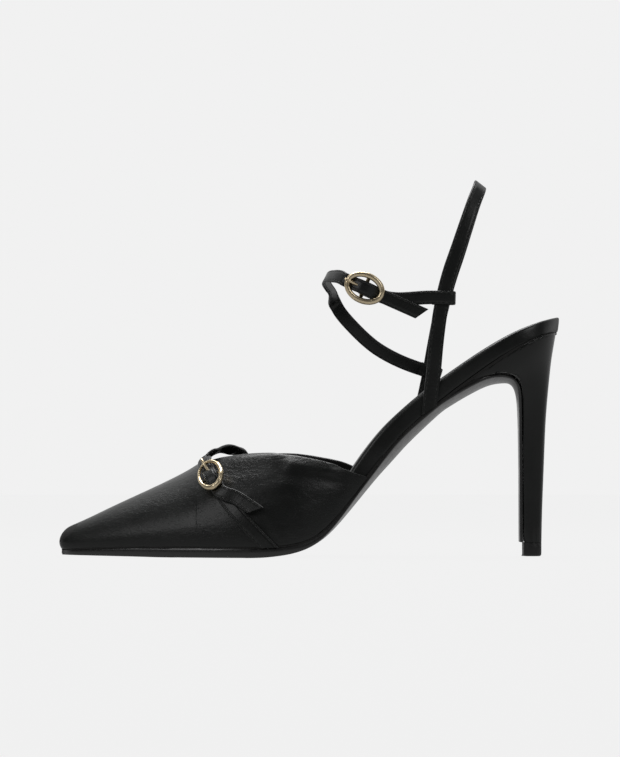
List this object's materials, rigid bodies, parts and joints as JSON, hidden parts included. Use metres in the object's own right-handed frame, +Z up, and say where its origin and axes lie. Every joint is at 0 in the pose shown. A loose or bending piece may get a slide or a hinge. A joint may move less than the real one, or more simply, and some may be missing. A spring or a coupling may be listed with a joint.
{
  "type": "slingback pump",
  "caption": "Left slingback pump with a pointed hollow toe, high slim heel, buckled strap over the throat and buckled ankle strap on an upright heel loop.",
  "frame": {"origin": "on the floor, below the middle of the shoe's box", "axes": "+Z up, -X from heel to toe, -Y the outer (lateral) side of the foot"},
  "size_m": [0.234, 0.078, 0.1771],
  "materials": {
    "calf": "smooth black calf with a soft semi-gloss",
    "sole_leather": "black painted sole leather, glossy at the waist",
    "tip_rubber": "matt black",
    "gold": "polished pale gold plate"
  },
  "bodies": {
    "root": {"outsole": "sole_leather", "insole": "calf", "upper": "calf", "heel": "calf", "top_piece": "tip_rubber", "sling_strap": "calf", "vamp_strap": "calf", "vamp_strap_anchor": "calf", "vamp_buckle": "gold", "vamp_prong": "gold", "ankle_strap": "calf", "ankle_strap_anchor": "calf", "ankle_buckle": "gold", "ankle_prong": "gold"}
  },
  "joints": []
}
